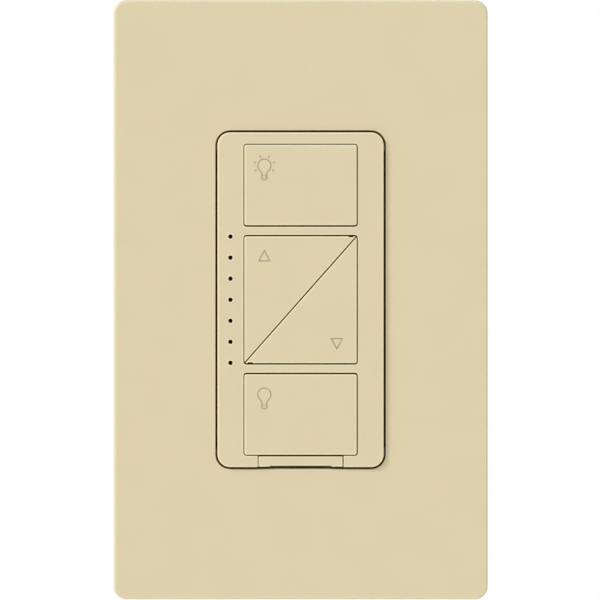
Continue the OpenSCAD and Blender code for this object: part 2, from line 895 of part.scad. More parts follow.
module rear_cover() color("darkslategray")
    difference() {
        union() {
            difference() {
                mirror([0, 1, 0]) soft_slab(-housing_d, 0, housing_edge, 4)
                    outline([housing_w, housing_h], housing_r);
                between(-past, inside_back)
                    outline([housing_w - 2 * housing_wall, housing_h - 2 * housing_wall],
                        housing_r - housing_wall);
            }
            for (x = ends, z = ends)
                rod([x * boss_at[0], z * boss_at[1]], 0, inside_back + 0.1, boss_r);
            // Ribs down the two long sides
            between(0, inside_back - 2)
                for (x = ends, z = [-side_rib_z, 0, side_rib_z])
                    box_at([x * housing_w / 2, z], side_rib);
        }
        for (x = ends, z = ends) {
            rod([x * boss_at[0], z * boss_at[1]], -past, housing_d + past, boss_hole_r);
            rod([x * boss_at[0], z * boss_at[1]], housing_d - boss_sink, housing_d + past,
                boss_sink_r);
        }
        for (spot = inlet_spots)
            rod(spot, inside_back - past, housing_d + past, inlet_d / 2);
        // Shallow recess for the label
        translate([0, 0, label_z]) between(housing_d - label_sink, housing_d + past)
            outline(label, 1);
    }

module rear_cover_screws() color("silver")
    for (x = ends, z = ends)
        translate([x * boss_at[0], 0, z * boss_at[1]]) mirror([0, 1, 0])
            screw(boss_sink - housing_d, tie_head_r, boss_sink - tie_head_front,
                tie_screw_r, -power_back, tie_screw_r, yoke_t - 0.1);

module rating_label() color("white")
    translate([0, 0, label_z])
        between(housing_d - label_sink, housing_d - label_sink / 2)
            outline(label - [0.4, 0.4], 0.8);

// ---------------------------------------------------------------- nodes

wallplate_cover();
wallplate_adapter();
adapter_screws();
yoke();
box_screws();
screw_retainers();
bezel();
light_pipe();
on_key();
raise_key();
lower_key();
off_key();
on_plunger();
raise_plunger();
lower_plunger();
off_plunger();
switch_domes();
switch_bases();
switch_caps();
status_lights();
control_board();
controller_chip();
radio_shield();
antenna();
board_insulator();
header_pins();
header_housing();
service_tab();
contact_bridge();
contact_clips();
power_board();
transistor_bodies();
transistor_tabs();
thermal_pads();
transistor_screws();
choke_core();
choke_winding();
film_capacitor();
smoothing_capacitors();
varistor();
fuse();
lead_terminals();
rear_cover();
rear_cover_screws();
rating_label();
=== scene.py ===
"""Looks of the wall dimmer: materials, printed signs, threaded screws, light and camera."""

from collections import namedtuple
import json
import math

import bmesh
import bpy
from mathutils import Matrix, Vector


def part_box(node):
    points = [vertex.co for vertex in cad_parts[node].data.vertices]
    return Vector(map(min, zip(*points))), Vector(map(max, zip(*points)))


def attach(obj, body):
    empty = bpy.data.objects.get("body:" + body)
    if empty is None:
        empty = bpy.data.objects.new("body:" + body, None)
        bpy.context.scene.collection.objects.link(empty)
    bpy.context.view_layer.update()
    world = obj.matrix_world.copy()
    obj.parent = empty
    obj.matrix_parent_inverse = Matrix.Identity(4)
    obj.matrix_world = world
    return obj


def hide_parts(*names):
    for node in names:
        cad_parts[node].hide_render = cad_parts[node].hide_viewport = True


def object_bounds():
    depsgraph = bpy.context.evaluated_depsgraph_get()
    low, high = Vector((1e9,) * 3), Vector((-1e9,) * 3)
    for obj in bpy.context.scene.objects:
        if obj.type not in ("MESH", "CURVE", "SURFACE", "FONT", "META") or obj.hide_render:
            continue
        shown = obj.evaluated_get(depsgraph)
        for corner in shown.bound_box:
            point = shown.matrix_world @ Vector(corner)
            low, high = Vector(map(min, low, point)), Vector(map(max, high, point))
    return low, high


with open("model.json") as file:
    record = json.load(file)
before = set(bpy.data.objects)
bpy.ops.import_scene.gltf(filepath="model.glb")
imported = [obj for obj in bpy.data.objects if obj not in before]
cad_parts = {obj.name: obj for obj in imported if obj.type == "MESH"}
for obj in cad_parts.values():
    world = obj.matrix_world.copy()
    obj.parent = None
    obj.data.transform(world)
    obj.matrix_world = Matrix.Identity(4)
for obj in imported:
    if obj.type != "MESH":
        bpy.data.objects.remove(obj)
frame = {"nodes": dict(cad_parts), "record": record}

cad_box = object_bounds()
MM = 0.001
NODES = frame["nodes"]


# ---------------------------------------------------------------- node helpers

# Sockets of the Mix node, by number, because several of them share a name
NUMBER_A, NUMBER_B, NUMBER_OUT = 2, 3, 0
COLOUR_A, COLOUR_B, COLOUR_OUT = 6, 7, 2

# How alike the rounded and the true normals are at a sharp edge, and on a flat face
AT_EDGE, ON_FLAT = 0.96, 0.9995
GAP_SAMPLES, EDGE_SAMPLES = 6, 4


class Surface:
    """A material under construction: its node tree, its shader and its object coordinates."""

    def __init__(self, name, colour, roughness, metallic=0.0, **fixed):
        self.material = bpy.data.materials.new(name)
        self.material.use_nodes = True
        self.tree = self.material.node_tree
        self.shader = self.tree.nodes["Principled BSDF"]
        self.place = self.tree.nodes.new("ShaderNodeTexCoord").outputs["Object"]
        self.colour = colour
        self.shader.inputs["Metallic"].default_value = metallic
        self.shader.inputs["Base Color"].default_value = (*colour, 1)
        self.shader.inputs["Roughness"].default_value = roughness
        for socket, value in fixed.items():
            self.shader.inputs[socket.replace("_", " ")].default_value = value
        self.material.diffuse_color = (*colour, 1)

    def node(self, kind, **values):
        """A new node with its settings."""
        made = self.tree.nodes.new(kind)
        for key, value in values.items():
            setattr(made, key, value)
        return made

    def link(self, source, target):
        self.tree.links.new(source, target)

    def noise(self, size_mm, stretch=(1, 1, 1), detail=3.0):
        """Noise whose features are about size_mm across, longer along an axis stretched above 1."""
        mapping = self.node("ShaderNodeMapping")
        mapping.inputs["Scale"].default_value = [1 / (size_mm * MM * s) for s in stretch]
        self.link(self.place, mapping.inputs["Vector"])
        texture = self.node("ShaderNodeTexNoise")
        texture.inputs["Scale"].default_value = 1
        texture.inputs["Detail"].default_value = detail
        self.link(mapping.outputs["Vector"], texture.inputs["Vector"])
        return texture.outputs["Fac"]

    def cells(self, size_mm, feature="F1"):
        """Distance to the nearest of scattered points about size_mm apart."""
        texture = self.node("ShaderNodeTexVoronoi", feature=feature)
        texture.inputs["Scale"].default_value = 1 / (size_mm * MM)
        self.link(self.place, texture.inputs["Vector"])
        return texture.outputs["Distance"]

    def spread(self, factor, low, high, start=0.3, end=0.7):
        """factor, from start to end, mapped on to the range low to high."""
        node = self.node("ShaderNodeMapRange")
        ends = {"From Min": start, "From Max": end, "To Min": low, "To Max": high}
        for key, value in ends.items():
            node.inputs[key].default_value = value
        self.link(factor, node.inputs["Value"])
        return node.outputs["Result"]

    def tint(self, factor, amount, start=0.3, end=0.7):
        """Colour that goes a little darker and lighter than the base with factor."""
        dark = [c * (1 - amount) for c in self.colour]
        light = [min(1, c * (1 + amount)) for c in self.colour]
        return self.between(self.spread(factor, 0, 1, start, end), dark, light)

    def blend(self, factor, first, second):
        """A mix of the number first and the socket second."""
        mix = self.node("ShaderNodeMix", data_type="FLOAT")
        self.link(factor, mix.inputs["Factor"])
        mix.inputs[NUMBER_A].default_value = first
        self.link(second, mix.inputs[NUMBER_B])
        return mix.outputs[NUMBER_OUT]

    def between(self, factor, first, second):
        """A mix of two colours, each a plain triple or a socket."""
        mix = self.node("ShaderNodeMix", data_type="RGBA")
        self.link(factor, mix.inputs["Factor"])
        for number, value in ((COLOUR_A, first), (COLOUR_B, second)):
            if isinstance(value, bpy.types.NodeSocket):
                self.link(value, mix.inputs[number])
            else:
                mix.inputs[number].default_value = (*value, 1)
        return mix.outputs[COLOUR_OUT]

    def openness(self, reach_mm):
        """1 on open faces, down to 0 deep in a gap, looking reach_mm around."""
        node = self.node("ShaderNodeAmbientOcclusion", samples=GAP_SAMPLES)
        node.inputs["Distance"].default_value = reach_mm * MM
        return node.outputs["AO"]

    def edges(self, reach_mm):
        """0 on flat faces, up to 1 within reach_mm of a sharp edge."""
        rounded = self.node("ShaderNodeBevel", samples=EDGE_SAMPLES)
        rounded.inputs["Radius"].default_value = reach_mm * MM
        true = self.node("ShaderNodeNewGeometry")
        alike = self.node("ShaderNodeVectorMath", operation="DOT_PRODUCT")
        self.link(rounded.outputs["Normal"], alike.inputs[0])
        self.link(true.outputs["Normal"], alike.inputs[1])
        return self.spread(alike.outputs["Value"], 1, 0, AT_EDGE, ON_FLAT)

    def paint(self, socket):
        """Takes the base colour from socket."""
        self.link(socket, self.shader.inputs["Base Color"])

    def rough(self, factor, low, high):
        """Takes the roughness from factor, on the range low to high."""
        self.link(self.spread(factor, low, high), self.shader.inputs["Roughness"])

    def bump(self, height, depth_mm, strength=1.0):
        """Adds a relief of about depth_mm to the relief already there."""
        node = self.node("ShaderNodeBump")
        node.inputs["Strength"].default_value = strength
        node.inputs["Distance"].default_value = depth_mm * MM
        self.link(height, node.inputs["Height"])
        normal = self.shader.inputs["Normal"]
        if normal.links:
            self.link(normal.links[0].from_socket, node.inputs["Normal"])
        self.link(node.outputs["Normal"], normal)


# ---------------------------------------------------------------- materials

METAL_GAP_SHADE = (0.045, 0.028, 0.010)          # painted shade: colour of sheet metal deep in a gap
# Painted shade in the ivory's gaps: the share of the colour left there, and the roughness there
GAP_SHADE_TINT = (0.13, 0.07, 0.012)      # share of the ivory's red, green and blue left in a gap
GAP_SHADE_ROUGHNESS = 0.9
EDGE_HIGHLIGHT = 1.44                         # how much lighter the painted highlight on a sharp edge is


def satin_plastic(name, colour, roughness=0.36):
    """Moulded plastic with a satin finish, with a painted highlight along its edges and painted
    shade in its gaps.
    """
    s = Surface(name, colour, roughness, Subsurface_Weight=0.1,
                Subsurface_Radius=(1.0, 0.8, 0.5), Subsurface_Scale=0.5 * MM, IOR=1.49,
                Specular_IOR_Level=0.3)
    clean = s.tint(s.noise(9, detail=2), amount=0.012)
    # painted highlight: a lighter copy of the colour for sharp edges
    painted_edge_highlight = [min(1, c * EDGE_HIGHLIGHT) for c in colour]
    # painted shade: the ivory darkened, laid in gaps where the occlusion mask below finds them
    painted_gap_shade = [c * left for c, left in zip(colour, GAP_SHADE_TINT)]
    open_face = s.spread(s.openness(reach_mm=0.8), 0, 1, start=0.28, end=0.84)
    # lays the painted shade into gaps and the painted highlight along sharp edges
    s.paint(s.between(open_face, painted_gap_shade, s.between(s.edges(reach_mm=0.38), clean, painted_edge_highlight)))
    uneven = s.spread(s.noise(1.6), roughness - 0.05, roughness + 0.05)
    # the painted shade's mask also makes the gaps rough, which dulls their gloss
    s.link(s.blend(open_face, GAP_SHADE_ROUGHNESS, uneven), s.shader.inputs["Roughness"])
    s.bump(s.noise(4.5, detail=1), depth_mm=0.003, strength=0.5)
    s.bump(s.noise(0.22, detail=2), depth_mm=0.002, strength=0.6)
    return s.material


def textured_plastic(name, colour, grain_mm=0.28, roughness=0.55):
    """Engineering plastic from a spark-eroded mould."""
    s = Surface(name, colour, roughness, IOR=1.5)
    s.paint(s.tint(s.noise(5), amount=0.18))
    s.rough(s.noise(grain_mm * 2), roughness - 0.1, roughness + 0.12)
    s.bump(s.cells(grain_mm, "SMOOTH_F1"), depth_mm=0.03, strength=0.7)
    s.bump(s.noise(grain_mm * 0.5), depth_mm=0.01, strength=0.6)
    return s.material


def plain_plastic(name, colour, roughness=0.4, gloss=0.5):
    """Small moulding with faint flow marks."""
    s = Surface(name, colour, roughness, IOR=1.5, Specular_IOR_Level=gloss)
    s.paint(s.tint(s.noise(2.5), amount=0.1))
    s.rough(s.noise(0.8), roughness - 0.08, roughness + 0.1)
    s.bump(s.noise(0.35), depth_mm=0.004, strength=0.5)
    return s.material


def rolled_metal(name, colour, along, grain_mm, roughness):
    """Sheet metal with painted shade in deep gaps, and rolling marks along the axis that along
    stretches.
    """
    s = Surface(name, colour, roughness, metallic=1.0)
    streaks = s.noise(grain_mm, along, detail=4)
    clean = s.tint(s.noise(6, detail=4), amount=0.08)
    # painted shade: the colour goes dark where the occlusion mask finds deep gaps
    open_face = s.spread(s.openness(reach_mm=4), 0, 1, start=0.06, end=0.3)
    s.paint(s.between(open_face, METAL_GAP_SHADE, clean))
    s.rough(streaks, roughness - 0.1, roughness + 0.14)
    s.bump(streaks, depth_mm=0.004, strength=0.6)
    return s.material


def plated_steel(name, colour, stained, roughness):
    """Bright zinc plate: small grain, and faint cloudy stains in the colour stained."""
    s = Surface(name, colour, roughness, metallic=1.0)
    clouds = s.spread(s.noise(2.2, detail=4), 0, 1, start=0.42, end=0.68)
    s.paint(s.between(clouds, colour, stained))
    s.rough(s.noise(0.5), roughness - 0.08, roughness + 0.14)
    s.bump(s.noise(0.12), depth_mm=0.003, strength=0.5)
    return s.material


def fibre_sheet(name, colour, roughness=0.75, along=(6, 6, 1), depth_mm=0.01, contrast=0.2):
    """Pressed fibre or paper: short matted strands."""
    s = Surface(name, colour, roughness)
    strands = s.noise(0.18, along, detail=4)
    s.paint(s.tint(strands, contrast))
    s.rough(strands, roughness - 0.1, roughness + 0.1)
    s.bump(strands, depth_mm, strength=0.7)
    return s.material


def circuit_board(name, colour):
    """Solder mask over copper: traces show as slightly raised, lighter bands."""
    s = Surface(name, colour, roughness=0.3, IOR=1.5, Coat_Weight=0.3, Coat_Roughness=0.15)
    tracks = s.node("ShaderNodeTexBrick")
    pattern = {"Scale": 1 / (9 * MM), "Mortar Size": 0.06, "Mortar Smooth": 0.2, "Row Height": 0.22}
    for key, value in pattern.items():
        tracks.inputs[key].default_value = value
    upright = s.node("ShaderNodeMapping")
    upright.inputs["Rotation"].default_value = (math.pi / 2, 0, 0)
    s.link(s.place, upright.inputs["Vector"])
    s.link(upright.outputs["Vector"], tracks.inputs["Vector"])
    copper_below = [min(1, c * 2.1 + 0.01) for c in colour]
    s.paint(s.between(tracks.outputs["Fac"], colour, copper_below))
    s.rough(s.noise(0.4), 0.24, 0.38)
    s.bump(tracks.outputs["Fac"], depth_mm=0.02, strength=0.8)
    return s.material


def granular(name, colour, grain_mm, roughness):
    """Pressed powder under paint."""
    s = Surface(name, colour, roughness)
    s.paint(s.tint(s.cells(grain_mm), amount=0.22, start=0.1, end=0.7))
    s.rough(s.noise(grain_mm), roughness - 0.1, roughness + 0.1)
    s.bump(s.cells(grain_mm, "SMOOTH_F1"), depth_mm=0.05, strength=0.8)
    return s.material


def shrink_sleeve(name, colour, stripe, stripe_mm, soft_mm=0.05):
    """Glossy printed sleeve, in the colour stripe where it is higher than stripe_mm."""
    s = Surface(name, colour, roughness=0.22, IOR=1.5)
    axis = s.node("ShaderNodeSeparateXYZ")
    s.link(s.place, axis.inputs["Vector"])
    below, above = (stripe_mm - soft_mm) * MM, (stripe_mm + soft_mm) * MM
    s.paint(s.between(s.spread(axis.outputs["Z"], 0, 1, below, above), colour, stripe))
    s.rough(s.noise(0.9), 0.16, 0.32)
    s.bump(s.noise(1.4), depth_mm=0.02, strength=0.5)
    return s.material


def pale_floor():
    """Plain matt floor, very slightly uneven in colour."""
    s = Surface("studio_floor", (0.86, 0.86, 0.85), roughness=0.8)
    s.paint(s.tint(s.noise(900), amount=0.01))
    return s.material


IVORY = (0.722, 0.626, 0.409)
INK = (0.335, 0.295, 0.187)
ZINC = (0.66, 0.67, 0.66)
STAINED_ZINC = (0.66 * 0.9, 0.67 * 0.86, 0.66 * 0.78)

# Each row: the kind of surface, the material's name, and the values of that kind
RECIPES = (
    (satin_plastic, "ivory_plastic", IVORY),
    (satin_plastic, "adapter_plastic", (0.66, 0.59, 0.42), 0.5),
    (plated_steel, "screw_steel", ZINC, STAINED_ZINC, 0.3),
    (rolled_metal, "yoke_aluminium", (0.56, 0.57, 0.58), (1, 1, 60), 0.3, 0.46),
    (fibre_sheet, "fibre", (0.30, 0.085, 0.04)),
    (plain_plastic, "smoke_plastic", (0.006, 0.003, 0.002), 0.5, 0.1),
    (plain_plastic, "switch_plastic", (0.03, 0.03, 0.033)),
    (rolled_metal, "spring_metal", (0.70, 0.69, 0.66), (1, 1, 8), 0.1, 0.25),
    (plain_plastic, "led_white", (0.80, 0.76, 0.55), 0.3),
    (circuit_board, "board_green", (0.02, 0.12, 0.045)),
    (textured_plastic, "black_moulding", (0.025, 0.025, 0.027), 0.12),
    (rolled_metal, "tin_plate", (0.70, 0.70, 0.67), (8, 1, 1), 0.1, 0.3),
    (rolled_metal, "copper", (0.86, 0.44, 0.28), (12, 1, 1), 0.1, 0.32),
    (rolled_metal, "enamelled_copper", (0.55, 0.17, 0.055), (1, 1, 1), 0.3, 0.24),
    (fibre_sheet, "fish_paper", (0.27, 0.28, 0.27)),
    (rolled_metal, "gold_plate", (0.90, 0.66, 0.28), (1, 10, 1), 0.1, 0.22),
    (rolled_metal, "contact_brass", (0.78, 0.56, 0.22), (1, 10, 1), 0.12, 0.28),
    (fibre_sheet, "thermal_rubber", (0.42, 0.43, 0.46), 0.8, (1, 1, 1)),
    (granular, "powdered_iron", (0.50, 0.44, 0.08), 0.35, 0.6),
    (plain_plastic, "film_case", (0.66, 0.42, 0.03), 0.3),
    (shrink_sleeve, "can_sleeve", (0.012, 0.02, 0.05), (0.42, 0.46, 0.52), 23.2),
    (plain_plastic, "varistor_coat", (0.015, 0.06, 0.30), 0.3),
    (textured_plastic, "housing_plastic", (0.028, 0.028, 0.030)),
    (fibre_sheet, "label_paper", (0.74, 0.74, 0.71), 0.45, (2, 1, 2), 0.002, 0.03),
    (plain_plastic, "ink", INK, 0.5),
)

# One material for each slot of the record, and the ink of the printed signs
MATERIALS = {name: kind(name, *values) for kind, name, *values in RECIPES}


# ---------------------------------------------------------------- CAD nodes

WELD_WITHIN = 0.001 * MM
FLAT_DEGREES = 0.3     # faces that meet at less than this become one
SHARP_DEGREES = 38     # edges sharper than this are rounded


def dress(node, slot, edge_mm):
    """Gives a CAD node its material, clean faces and a small round on every sharp edge."""
    piece = NODES[node]
    piece.data.materials.clear()
    piece.data.materials.append(MATERIALS[slot])
    for polygon in piece.data.polygons:
        polygon.use_smooth = True
    weld = piece.modifiers.new("weld", "WELD")
    weld.merge_threshold = WELD_WITHIN
    flat = piece.modifiers.new("flat", "DECIMATE")
    flat.decimate_type = "DISSOLVE"
    flat.angle_limit = math.radians(FLAT_DEGREES)
    bevel = piece.modifiers.new("edges", "BEVEL")
    bevel.width = edge_mm * MM
    bevel.segments = 2
    bevel.limit_method = "ANGLE"
    bevel.angle_limit = math.radians(SHARP_DEGREES)
    bevel.use_clamp_overlap = True
    shading = piece.modifiers.new("shading", "WEIGHTED_NORMAL")
    shading.keep_sharp = True


# Width of the small round on each node's sharp edges, in mm
EDGES = {
    "wallplate_cover": 0.10, "wallplate_adapter": 0.12, "yoke": 0.12, "bezel": 0.06,
    "rear_cover": 0.15, "service_tab": 0.06, "on_key": 0.06, "off_key": 0.06,
    "raise_key": 0.06, "lower_key": 0.06, "antenna": 0.01, "switch_domes": 0.01,
    "thermal_pads": 0.03, "rating_label": 0.02, "light_pipe": 0.06,
}
SMALL_EDGE = 0.05      # for every other node

for part in frame["record"]["subparts"]:
    dress(part["node"], part["material_slot"], EDGES.get(part["node"], SMALL_EDGE))


# ---------------------------------------------------------------- new pieces

SAME_POINT = 1e-7      # points closer than this become one


def mesh_from(bm, name):
    """A mesh from a bmesh, which is freed."""
    mesh = bpy.data.meshes.new(name)
    bm.to_mesh(mesh)
    bm.free()
    return mesh


def shown(name, data):
    """A new object of the scene, from a mesh, a light or a camera."""
    made = bpy.data.objects.new(name, data)
    bpy.context.scene.collection.objects.link(made)
    return made


def piece_from(bm, name, slot, body, material=None):
    """A new piece from a bmesh, in its material and on its body."""
    bmesh.ops.remove_doubles(bm, verts=bm.verts, dist=SAME_POINT)
    bmesh.ops.recalc_face_normals(bm, faces=bm.faces)
    made = shown(name, mesh_from(bm, name))
    made.data.materials.append(MATERIALS[material or slot])
    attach(made, body)
    return made


def bridge(bm, one, two):
    """The four faces between two rings of four points."""
    for k in range(4):
        bm.faces.new((one[k], one[(k + 1) % 4], two[(k + 1) % 4], two[k]))


# Printed signs ------------------------------------------------

LINE = 0.21 * MM         # width of a printed line
THIN_LINE = LINE * 0.55
INK_PROUD = 0.003 * MM   # how far the ink stands out of the face
INK_DEEP = 0.02 * MM
SHARPEST = 0.35          # keeps the mitre of a sharp corner short


def directions(points, closed):
    """For each point, the direction of the line through it and the direction it leaves in."""
    count = len(points)
    for i, point in enumerate(points):
        arrives = (point - points[i - 1]).normalized() if closed or i else None
        leaves = (points[(i + 1) % count] - point).normalized() if closed or i < count - 1 else None
        arrives = arrives or leaves
        leaves = leaves or arrives
        yield point, (arrives + leaves).normalized(), leaves


def stroke(bm, points, front, closed=False, width=LINE):
    """A printed line through points [(x, z), ...], as a thin slab in the face at y = front."""
    y_front, y_back = front - INK_PROUD, front + INK_DEEP
    rings = []
    for point, along, leaves in directions([Vector(p) for p in points], closed):
        across = Vector((-along.y, along.x))
        reach = across * width / 2 * (1 / max(SHARPEST, along.dot(leaves)))
        left, right = point + reach, point - reach
        corners = ((left, y_front), (right, y_front), (right, y_back), (left, y_back))
        rings.append([bm.verts.new((corner.x, y, corner.y)) for corner, y in corners])
    following = rings[1:] + rings[:1] if closed else rings[1:]
    for one, two in zip(rings, following):
        bridge(bm, one, two)
    if not closed:
        bm.faces.new(rings[0])
        bm.faces.new(rings[-1])


def triangle_sign(bm, apex, base_z, half, front):
    """An outline triangle with its apex at (x, z) and a level base."""
    x, z = apex
    stroke(bm, [(x - half, base_z), (x, z), (x + half, base_z)], front, closed=True)


NECK = 0.46 * MM         # half the width of a bulb's neck
NECK_DOWN = 1.55 * MM    # from the globe's centre down to the neck
RAYS = (64, 115, 18, 162, -29, -151)   # directions of a lit bulb's rays, in degrees
RAY_START, RAY_END = 1.70, 2.25        # from the globe's centre, in mm


def bulb_outline(x, z):
    """The outline of a light bulb whose globe has its centre at (x, z), from foot to foot."""
    radius, base = 1.30 * MM, 0.54 * MM
    neck_z, base_z, foot_z = z - NECK_DOWN, z - 2.45 * MM, z - 2.82 * MM
    start, sweep, steps = math.radians(-44), math.radians(268), 24
    angles = [start + sweep * i / steps for i in range(steps + 1)]
    globe = [(x + radius * math.cos(angle), z + radius * math.sin(angle)) for angle in angles]
    side = [(base * 0.5, foot_z), (base, base_z - 0.1 * MM), (base, base_z),
            (NECK, neck_z - 0.2 * MM), (NECK + 0.08 * MM, neck_z + 0.15 * MM)]
    right = [(x + across, level) for across, level in side]
    left = [(x - across, level) for across, level in reversed(side)]
    return right + globe + left


def bulb_sign(bm, x, z, front, lit):
    """An outline light bulb with its globe's centre at (x, z), and rays if it is lit."""
    stroke(bm, bulb_outline(x, z), front, closed=True)
    for below_neck in (0.36 * MM, 0.78 * MM):
        level = z - NECK_DOWN - below_neck
        stroke(bm, [(x - NECK, level), (x + NECK, level)], front, width=THIN_LINE)
    centre = Vector((x, z))
    for degrees in RAYS if lit else ():
        way = Vector((math.cos(math.radians(degrees)), math.sin(math.radians(degrees))))
        stroke(bm, [centre + way * RAY_START * MM, centre + way * RAY_END * MM], front)


FLANGE = 0.6 * MM            # how far a key's flange reaches beyond its face
SIGN_ASIDE = 3.96 * MM       # from the side of a key's face to the middle of its sign
ON_BULB_DOWN = 4.16 * MM     # from the top of the on key's face to its bulb's centre
OFF_BULB_DOWN = 4.03 * MM
ARROW_IN = 2.85 * MM         # from the outer edge of a raise or lower key's face to the apex
ARROW_H = 2.05 * MM
ARROW_HALF = 1.1 * MM


def sign(name, body, draw, *where):
    """A printed sign as a piece of its own, on a key's body."""
    bm = bmesh.new()
    draw(bm, *where)
    piece_from(bm, name, "switch_plastic", body, "ink")


def printed_signs():
    """Bulbs and arrows, printed on the keys' faces.

    The on key has no flange at its top, so the top of its box is the top of its face.
    """
    on_low, on_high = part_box("on_key")
    front = on_low.y
    column = on_low.x + FLANGE + SIGN_ASIDE
    on_z = on_high.z - ON_BULB_DOWN
    off_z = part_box("off_key")[1].z - FLANGE - OFF_BULB_DOWN
    raise_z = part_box("raise_key")[1].z - FLANGE - ARROW_IN
    lower_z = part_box("lower_key")[0].z + FLANGE + ARROW_IN
    sign("on_sign", "on_key_body", bulb_sign, column, on_z, front, True)
    sign("off_sign", "off_key_body", bulb_sign, column, off_z, front, False)
    sign("raise_sign", "raise_key_body", triangle_sign, (column, raise_z),
         raise_z - ARROW_H, ARROW_HALF, front)
    sign("lower_sign", "lower_key_body", triangle_sign, (-column, lower_z),
         lower_z + ARROW_H, ARROW_HALF, front)


# Screws -------------------------------------------------------

# Radii and heights of a screw, and the y where its neck ends and its thread starts
Screw = namedtuple("Screw", "head_r head_h neck_r neck_end thread_r pitch depth")

RECESS_ABOVE = 0.4 * MM    # the recess's tool starts this far outside the head


def cross_recess(width, depth, thick):
    """The tool that cuts a cross recess: two tapered blades, pointing along +Y from y = 0."""
    bm = bmesh.new()
    # Each end of a blade: its y, half its width and half its thickness
    ends = ((-RECESS_ABOVE, width / 2, thick / 2), (depth, width * 0.20, thick / 2 * 0.75))
    for degrees in (0, 90):
        turn = Matrix.Rotation(math.radians(degrees), 3, "Y")
        rings = []
        for y, half, wall in ends:
            corners = ((-half, -wall), (half, -wall), (half, wall), (-half, wall))
            rings.append([bm.verts.new(turn @ Vector((x, y, z))) for x, z in corners])
        top, bottom = rings
        bm.faces.new(top)
        bm.faces.new(bottom[::-1])
        bridge(bm, top, bottom)
    bmesh.ops.recalc_face_normals(bm, faces=bm.faces)
    return mesh_from(bm, "cross_recess")


def turned(profile, steps=48):
    """A bmesh of the profile [(radius, y), ...] turned round Y; it starts and ends on the axis."""
    bm = bmesh.new()
    angles = [2 * math.pi * i / steps for i in range(steps)]
    rings = []
    for radius, y in profile:
        if radius == 0:
            rings.append([bm.verts.new((0, y, 0))])
        else:
            rings.append([bm.verts.new((radius * math.cos(a), y, radius * math.sin(a)))
                          for a in angles])
    for one, two in zip(rings, rings[1:]):
        for i in range(steps):
            j = (i + 1) % steps
            quad = (one[i % len(one)], one[j % len(one)], two[j % len(two)], two[i % len(two)])
            bm.faces.new(list(dict.fromkeys(quad)))
    return bm


def applied(body):
    """The mesh of an object with its modifiers applied."""
    bpy.context.view_layer.update()
    graph = bpy.context.evaluated_depsgraph_get()
    return bpy.data.meshes.new_from_object(body.evaluated_get(graph))


def head_profile(radius, height, neck):
    """The outline of a pan head whose flat crown is at y = 0 and whose underside is at height."""
    crown, shoulder, dome_h, steps = 0.42, 0.58, height * 0.62, 8
    dome = []
    for i in range(steps + 1):
        angle = math.radians(90 * i / steps)
        reach = crown + shoulder * math.sin(angle)
        dome.append((radius * reach, dome_h * (1 - math.cos(angle))))
    chamfer, stub_end = 0.1 * MM, height + 0.3 * MM
    return [(0, 0), *dome, (radius, height - chamfer), (radius - chamfer, height), (neck, height),
            (neck, stub_end), (0, stub_end)]


def screw_head(radius, height, neck):
    """A pan head with a cross recess. Its top is at y = 0 and its underside at y = height."""
    bm = turned(head_profile(radius, height, neck))
    bmesh.ops.recalc_face_normals(bm, faces=bm.faces)
    body = shown("screw_head", mesh_from(bm, "screw_head"))
    recess = cross_recess(width=radius * 1.16, depth=height * 0.72, thick=radius * 0.27)
    tool = shown("cross_recess", recess)
    cut = body.modifiers.new("recess", "BOOLEAN")
    cut.operation = "DIFFERENCE"
    cut.object = tool
    cut.solver = "EXACT"
    cut.use_self = True
    result = applied(body)
    for made in (body, tool):
        bpy.data.objects.remove(made)
    return result


RIDGE = (0.0, 0.35, 1.0, 1.0, 0.65, 0.3, 0.0, 0.0)   # height of the thread along one pitch
PER_PITCH = len(RIDGE)
PER_TURN = 32
TIP = 0.5 * MM          # how much the chamfer takes off the radius at the very tip
THINNEST = 0.8          # the least radius of the tip, as a share of the thread's root
EARLY = 1.2             # pitches by which the first row starts before the thread
ON_PLANE = 1e-8


def thread_rows(bm, start, end, screw):
    """Rows of points round the shaft. Each row climbs by one pitch in one turn."""
    turns = int((end - start) / screw.pitch) + 3
    rows = []
    for i in range(turns * PER_PITCH + 1):
        row = []
        for j in range(PER_TURN):
            y = start - EARLY * screw.pitch + (i / PER_PITCH + j / PER_TURN) * screw.pitch
            r = screw.thread_r - screw.depth * (1 - RIDGE[i % PER_PITCH])
            r = min(r, screw.thread_r - TIP + max(0, end - y))
            r = max(r, (screw.thread_r - screw.depth) * THINNEST)
            angle = -2 * math.pi * j / PER_TURN
            row.append(bm.verts.new((r * math.cos(angle), y, r * math.sin(angle))))
        rows.append(row)
    return rows


def thread(bm, start, end, screw):
    """A thread along Y, with flat ends and a chamfered tip."""
    rows = thread_rows(bm, start, end, screw)
    last = len(rows) - 1
    for i in range(last):
        for j in range(PER_TURN - 1):
            bm.faces.new((rows[i][j], rows[i + 1][j], rows[i + 1][j + 1], rows[i][j + 1]))
        above = i + PER_PITCH
        if above < last:
            bm.faces.new((rows[i][-1], rows[i + 1][-1], rows[above + 1][0], rows[above][0]))
    for place, way in ((start, -1), (end, 1)):
        cut = bmesh.ops.bisect_plane(
            bm, geom=bm.verts[:] + bm.edges[:] + bm.faces[:], dist=ON_PLANE,
            plane_co=(0, place, 0), plane_no=(0, way, 0), clear_outer=True)
        rim = [e for e in cut["geom_cut"] if isinstance(e, bmesh.types.BMEdge)]
        bmesh.ops.contextual_create(bm, geom=rim)


